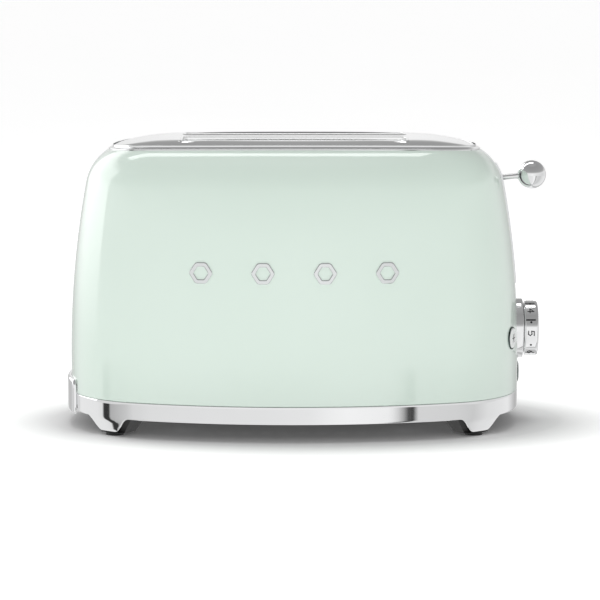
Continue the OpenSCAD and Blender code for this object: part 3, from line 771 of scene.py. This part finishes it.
KNOB_X0, KNOB_X1 = knob_low[0], knob_high[0]
RIM_X1 = KNOB_X1 - 1.8
knob_profile = ([(3.1, KNOB_X0 + 1.5), (3.1, KNOB_X0), (KNOB_R - 1.4, KNOB_X0)]
                + [(KNOB_R - 1.2, KNOB_X0 + 0.7), (KNOB_R - 0.25, KNOB_X0 + 0.75)]
                + [(KNOB_R - 0.02, KNOB_X0 + 1.0), (KNOB_R, KNOB_X0 + 2.4)]
                + [(KNOB_R, x) for x in spread(KNOB_X0 + 3, RIM_X1, 5)]
                + [(KNOB_R - 0.12, RIM_X1 + 0.45), (KNOB_R - 0.45, RIM_X1 + 0.85),
                   (KNOB_R - 1.1, RIM_X1 + 1.15)]
                + [(r, KNOB_X1 - 0.62 * (r / KNOB_R) ** 2) for r in spread(KNOB_R - 1.8, 0.01, 16)])
build("dial_knob", *lathe(knob_profile, about_dial, 128), "knob", "polished_chrome", ["browning_knob"])

# Strokes of generic dial numbers, in units of a digit's half width and half height
DIGITS = {
    "1": [[(-0.5, 0.5), (0.1, 1), (0.1, -1)]],
    "2": [[(-0.8, 0.6), (-0.4, 1), (0.4, 1), (0.8, 0.6), (0.8, 0.2), (-0.8, -1), (0.8, -1)]],
    "3": [[(-0.8, 1), (0.8, 1), (0, 0.15), (0.6, 0.05), (0.8, -0.5), (0.3, -1), (-0.8, -0.9)]],
    "4": [[(0.4, -1), (0.4, 1), (-0.8, -0.3), (0.9, -0.3)]],
    "5": [[(0.8, 1), (-0.6, 1), (-0.7, 0.1), (0.3, 0.25), (0.8, -0.3), (0.4, -0.95), (-0.7, -0.9)]],
    "6": [[(0.6, 1), (-0.5, 0.4), (-0.8, -0.4), (-0.3, -1), (0.4, -1), (0.8, -0.4), (0.2, 0.1),
           (-0.7, -0.2)]],
}
DIGIT_STEP, DIGIT_FIRST = 50, 196
DIGIT_X = (KNOB_X0 + RIM_X1) / 2 + 0.2
PRINT_LIFT = 0.06


def on_rim(x, distance):
    """A place on the knob's rim: along the axis, and round it as an arc length."""
    t = distance / KNOB_R
    r = KNOB_R + PRINT_LIFT
    return x, -r * math.cos(t), KNOB_Z + r * math.sin(t)


def stroke(path, width, origin, size):
    """A ribbon along a path of (x, y) on the rim, cut short enough to bend round it."""
    points, faces = [], []
    for (x0, y0), (x1, y1) in zip(path, path[1:]):
        a, b = Vector((x0 * size[0], y0 * size[1])), Vector((x1 * size[0], y1 * size[1]))
        d = (b - a).normalized()
        n, grow = Vector((-d.y, d.x)) * width / 2, d * width / 2
        a, b = a - grow, b + grow
        rows = []
        for t in spread(0, 1, 5):
            p = a.lerp(b, t)
            rows.append([on_rim(origin[0] + q.x, origin[1] + q.y) for q in (p - n, p + n)])
        points, faces = merge((points, faces), lattice(rows))
    return points, faces


def dot(at, r):
    steps = 20
    turn = spread(0, 2 * math.pi, steps)[:-1]
    ring = [on_rim(at[0] + r * math.cos(t), at[1] + r * math.sin(t)) for t in turn]
    return ring, [list(range(steps))]


def dial_print_and_painted_band():
    parts = []
    arc = math.radians(1) * KNOB_R
    for i, digit in enumerate(sorted(DIGITS)):
        middle = (DIGIT_FIRST - DIGIT_STEP * i) * arc
        for path in DIGITS[digit]:
            parts.append(stroke([(y, -x) for x, y in path], 0.62, (DIGIT_X, middle), (1.9, 1.9)))
        parts.append(dot((DIGIT_X, middle - 0.54 * DIGIT_STEP * arc), 0.72))
    # Three dark bands round the rim: those at 70.7 and 23.9 degrees are printed dividers, the one at -55
    # degrees is a painted reflection of the dark below the knob
    for turn in (70.7, 23.9, -55):
        parts.append(stroke([(-1, 0), (1, 0)], 1.0, (DIGIT_X - 0.2, turn * arc), (2.6, 1)))
    return merge(*parts)


prints = build("dial_print_and_painted_band", *dial_print_and_painted_band(), "knob", "dark_plastic")
prints.data.materials.clear()
prints.data.materials.append(PRINT_AND_PAINTED_BAND)


# ---- Push buttons ----

CAP_TOP, RING_TOP = 1.1, 0.4


def icon(frame_of, kind):
    """A small generic sign on a cap: thin raised strokes."""
    spokes = {"front": 6, "rear": 4, "lower": 0}[kind]
    parts = []
    for i in range(spokes):
        t = math.pi * 2 * i / spokes
        c, s = math.cos(t), math.sin(t)
        rows = [[frame_of(r * c - w * s, r * s + w * c, CAP_TOP + 0.04) for w in (-0.28, 0.28)]
                for r in (0.4, 1.8, 3.1)]
        parts.append(lattice(rows))
    steps = spread(0, 2 * math.pi, 36)[:-1]
    r0, r1 = (0.01, 0.9) if spokes else (2.3, 2.9)
    parts.append(lattice([[frame_of(r * math.cos(t), r * math.sin(t), CAP_TOP + 0.045) for t in steps]
                          for r in (r0, r1)], close_points=True))
    return merge(*parts)


cap_profile = rounded([(0.01, -2.6), (BUTTON_R, -2.6), (BUTTON_R, CAP_TOP - 0.3),
                       (BUTTON_R - 0.9, CAP_TOP), (0.01, CAP_TOP)], 0.5)
ring_profile = rounded([(RING_R, -3.2), (RING_R, RING_TOP), (BUTTON_R + 0.3, RING_TOP),
                        (BUTTON_R + 0.3, -3.2)], 0.3)
rings = []
for kind, frame_of in BUTTON_FRAMES.items():
    stem_length = 15 if kind == "lower" else 8
    plunger = lathe([(0.01, -stem_length), (2, -stem_length), (2, -2.5)], frame_of, 32)
    build(f"{kind}_push_cap", *merge(lathe(cap_profile, frame_of, 72), plunger), f"{kind}_push",
          "white_plastic", [f"{kind}_button"])
    sign = build(f"{kind}_push_sign", *icon(frame_of, kind), f"{kind}_push", "dark_plastic")
    sign.data.materials.clear()
    sign.data.materials.append(PRINT_AND_PAINTED_BAND)
    rings.append(lathe(ring_profile, frame_of, 72))
ring_piece = build("push_rings", *merge(*rings), "housing", "dark_plastic", ["button_rings"])
ring_piece.data.materials.clear()
ring_piece.data.materials.append(DARK_RING)


# ---- Lift spring: a coil with hooked ends ----

def spring_path():
    low, high = mm_box("lift_spring")
    x, y = (low[0] + high[0]) / 2, (low[1] + high[1]) / 2
    r, lead, turns = (high[1] - low[1]) / 2 - 0.45, 5, 22
    path = [(x, y, low[2]), (x, y, low[2] + lead * 0.8)]
    for i in range(turns * 16 + 1):
        t = 2 * math.pi * i / 16
        z = low[2] + lead + (high[2] - low[2] - 2 * lead) * i / (turns * 16)
        path.append((x + r * math.cos(t), y + r * math.sin(t), z))
    return path + [(x, y, high[2] - lead * 0.8), (x, y, high[2])], low[2], high[2]


def tube(path, r, sides=8):
    rows = []
    for i, p in enumerate(path):
        ahead = Vector(path[min(i + 1, len(path) - 1)]) - Vector(path[max(i - 1, 0)])
        if i == 0:
            across = ahead.orthogonal().normalized()
        else:
            across = (across - ahead * across.dot(ahead) / ahead.length_squared).normalized()
        other = ahead.normalized().cross(across)
        rows.append([tuple(Vector(p) + across * r * math.cos(t) + other * r * math.sin(t))
                     for t in spread(0, 2 * math.pi, sides)[:-1]])
    return lattice(rows, close_points=True)


path, spring_z0, spring_z1 = spring_path()
coil = build("spring_coil", *tube(path, 0.42), None, None)
coil.data.materials.append(FINISHES["steel_rod"])
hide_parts("lift_spring")
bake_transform(coil)


# ---- Studio ----

def floor_material():
    made, tree, shader = new_finish("studio_floor", (0.93, 0.93, 0.93), 0.0, 0.9, Specular_IOR_Level=0.0)
    tree.links.new(blend_colors(tree, ranged(tree, noise(tree, 2), 0, 1), (0.92, 0.92, 0.92),
                                (0.94, 0.94, 0.94)), shader.inputs["Base Color"])
    # Painted light: the floor glows weakly near the object and strongly farther off, so it reads white away
    # from the object while the shade round it stays dark
    reach = tree.nodes.new("ShaderNodeVectorMath")
    reach.operation = "LENGTH"
    tree.links.new(object_space(tree, GLOW_STRETCH), reach.inputs[0])
    tree.links.new(ranged(tree, reach.outputs["Value"], FLOOR_GLOW, FAR_FLOOR_GLOW, *GLOW_FROM_TO),
                   shader.inputs["Emission Strength"])
    shader.inputs["Emission Color"].default_value = (1, 1, 1, 1)
    return made


# Painted light: emission strength of the floor near the object and far from it
FLOOR_GLOW, FAR_FLOOR_GLOW = 0.04, 0.55
GLOW_FROM_TO = (0.165, 0.235)
GLOW_STRETCH = (1, 1.5, 1)
FLOOR_HALF = 30


floor_mesh = bpy.data.meshes.new("studio_floor")
floor_mesh.from_pydata([(x * FLOOR_HALF, y * FLOOR_HALF, 0)
                        for x, y in ((-1, -1), (1, -1), (1, 1), (-1, 1))], [], [[0, 1, 2, 3]])
floor_mesh.materials.append(floor_material())
floor = bpy.data.objects.new("studio_floor", floor_mesh)
bpy.context.scene.collection.objects.link(floor)
floor.visible_glossy = False


def math_node(tree, operation, *values):
    node = tree.nodes.new("ShaderNodeMath")
    node.operation = operation
    for socket, value in zip(node.inputs, values):
        if isinstance(value, (int, float)):
            socket.default_value = value
        else:
            tree.links.new(value, socket)
    return node.outputs["Value"]


def stops(tree, value, low, high, table):
    """A grey ramp over value, from a table of (value, brightness)."""
    node = tree.nodes.new("ShaderNodeValToRGB")
    ramp = node.color_ramp
    while len(ramp.elements) < len(table):
        ramp.elements.new(1.0)
    for element, (at, grey) in zip(ramp.elements, table):
        element.position = (at - low) / (high - low)
        element.color = (grey, grey, grey, 1)
    tree.links.new(ranged(tree, value, 0, 1, low, high), node.inputs["Fac"])
    return node.outputs["Color"]


def studio_world():
    """Soft boxes and flags round the object, as brightness by compass and height."""
    world = bpy.data.worlds.new("studio")
    bpy.context.scene.world = world
    world.use_nodes = True
    tree = world.node_tree
    place = tree.nodes.new("ShaderNodeTexCoord")
    split = tree.nodes.new("ShaderNodeSeparateXYZ")
    tree.links.new(place.outputs["Generated"], split.inputs["Vector"])
    x, y, z = split.outputs
    compass = math_node(tree, "MULTIPLY", math_node(tree, "ARCTAN2", x, math_node(tree, "MULTIPLY", y, -1)),
                        180 / math.pi)
    height = math_node(tree, "MULTIPLY", math_node(tree, "ARCSINE", z), 180 / math.pi)
    # Degrees from straight behind the camera's back, positive to its right
    flagged = stops(tree, compass, -180, 180, [
        (-180, 0.95), (-172, 0.85), (-160, 0.50), (-150, 0.62), (-130, 0.85), (-96, 0.84),
        (-87, 0.78), (-85, 0.04), (-77, 0.04), (-75, 0.46), (-53, 0.62), (-40, 0.80), (-20, 0.82),
        (4, 0.86), (14, 0.96), (26, 0.92), (28.8, 0.60), (31, 0.07), (32.4, 0.06), (33.3, 0.70),
        (68, 0.62), (90, 0.77), (132, 0.87), (150, 0.60), (160, 0.45), (172, 0.85), (180, 0.95)])
    open_round = stops(tree, compass, -180, 180, [
        (-180, 0.95), (-160, 0.50), (-130, 0.80), (-80, 0.72), (-40, 0.84), (0, 0.96), (40, 0.80),
        (90, 0.70), (132, 0.80), (160, 0.50), (180, 0.95)])
    above = stops(tree, height, 0, 90, [
        (0, 0.95), (8, 0.92), (16, 0.50), (22, 0.36), (40, 0.33), (60, 0.31), (90, 0.40)])
    # The flags that darken the chrome base stand below the height at which the shell mirrors them
    around = tree.nodes.new("ShaderNodeMix")
    around.data_type = "RGBA"
    tree.links.new(ranged(tree, height, 0, 1, -8.4, -7.4), around.inputs["Factor"])
    tree.links.new(flagged, around.inputs["A"])
    tree.links.new(open_round, around.inputs["B"])
    mixed = tree.nodes.new("ShaderNodeMix")
    mixed.data_type = "RGBA"
    tree.links.new(ranged(tree, height, 0, 1, 6, 14), mixed.inputs["Factor"])
    tree.links.new(around.outputs["Result"], mixed.inputs["A"])
    tree.links.new(above, mixed.inputs["B"])
    # Tall soft box on the left, towards the back
    box_at = stops(tree, compass, -180, 180, [
        (-180, 0), (-162, 0), (-158, 1), (-97, 1), (-95.5, 0), (180, 0)])
    box_high = stops(tree, height, -90, 90, [
        (-90, 0), (-6, 0), (6, 1), (34, 1), (42, 0), (90, 0)])
    box = math_node(tree, "MULTIPLY", math_node(tree, "MULTIPLY", box_at, box_high), LEFT_BOX)
    total = math_node(tree, "ADD", mixed.outputs["Result"], box)
    seen = tree.nodes.new("ShaderNodeLightPath")
    white = tree.nodes.new("ShaderNodeMix")
    white.data_type = "RGBA"
    white.inputs["B"].default_value = (BACKDROP, BACKDROP, BACKDROP, 1)
    tree.links.new(seen.outputs["Is Camera Ray"], white.inputs["Factor"])
    tree.links.new(total, white.inputs["A"])
    background = tree.nodes["Background"]
    tree.links.new(white.outputs["Result"], background.inputs["Color"])
    background.inputs["Strength"].default_value = 1.0


LEFT_BOX = 1.4
BACKDROP = 1.02
OVERHEAD_WATTS, FRONT_WATTS, TOP_WATTS = 1.15, 9.0, 9.0
studio_world()


def soft_box(name, centre, aim, size, watts, mirrored=True):
    """A rectangular light shining from centre towards aim, which may be hidden from reflections."""
    data = bpy.data.lights.new(name, "AREA")
    data.shape, data.size, data.size_y, data.energy = "RECTANGLE", size[0], size[1], watts
    light = bpy.data.objects.new(name, data)
    bpy.context.scene.collection.objects.link(light)
    light.location = centre
    light.rotation_euler = (Vector(aim) - Vector(centre)).to_track_quat("-Z", "Y").to_euler()
    light.visible_camera = False
    light.visible_glossy = mirrored


soft_box("overhead", (-0.15, 0.305, 0.90), (-0.15, 0.305, 0), (0.84, 0.19), OVERHEAD_WATTS)
soft_box("front_fill", (-0.1, -2.5, 1.0), (0, 0, 0.1), (1.6, 1.6), FRONT_WATTS, mirrored=False)
soft_box("top_fill", (0, 0, 2.0), (0, 0, 0), (1.0, 1.0), TOP_WATTS, mirrored=False)


# ---- Camera ----

EYE = Vector(((SHIFT[0] + 3.6) / MM, -1.8, 0.2912))
PITCH = math.radians(6.75)
camera_data = bpy.data.cameras.new("camera")
camera_data.lens, camera_data.sensor_width = 167.2, 36
camera = bpy.data.objects.new("camera", camera_data)
bpy.context.scene.collection.objects.link(camera)
camera.location = EYE
camera.rotation_euler = (math.pi / 2 - PITCH, 0, 0)
bpy.context.scene.camera = camera
bpy.context.scene.view_settings.view_transform = "Standard"
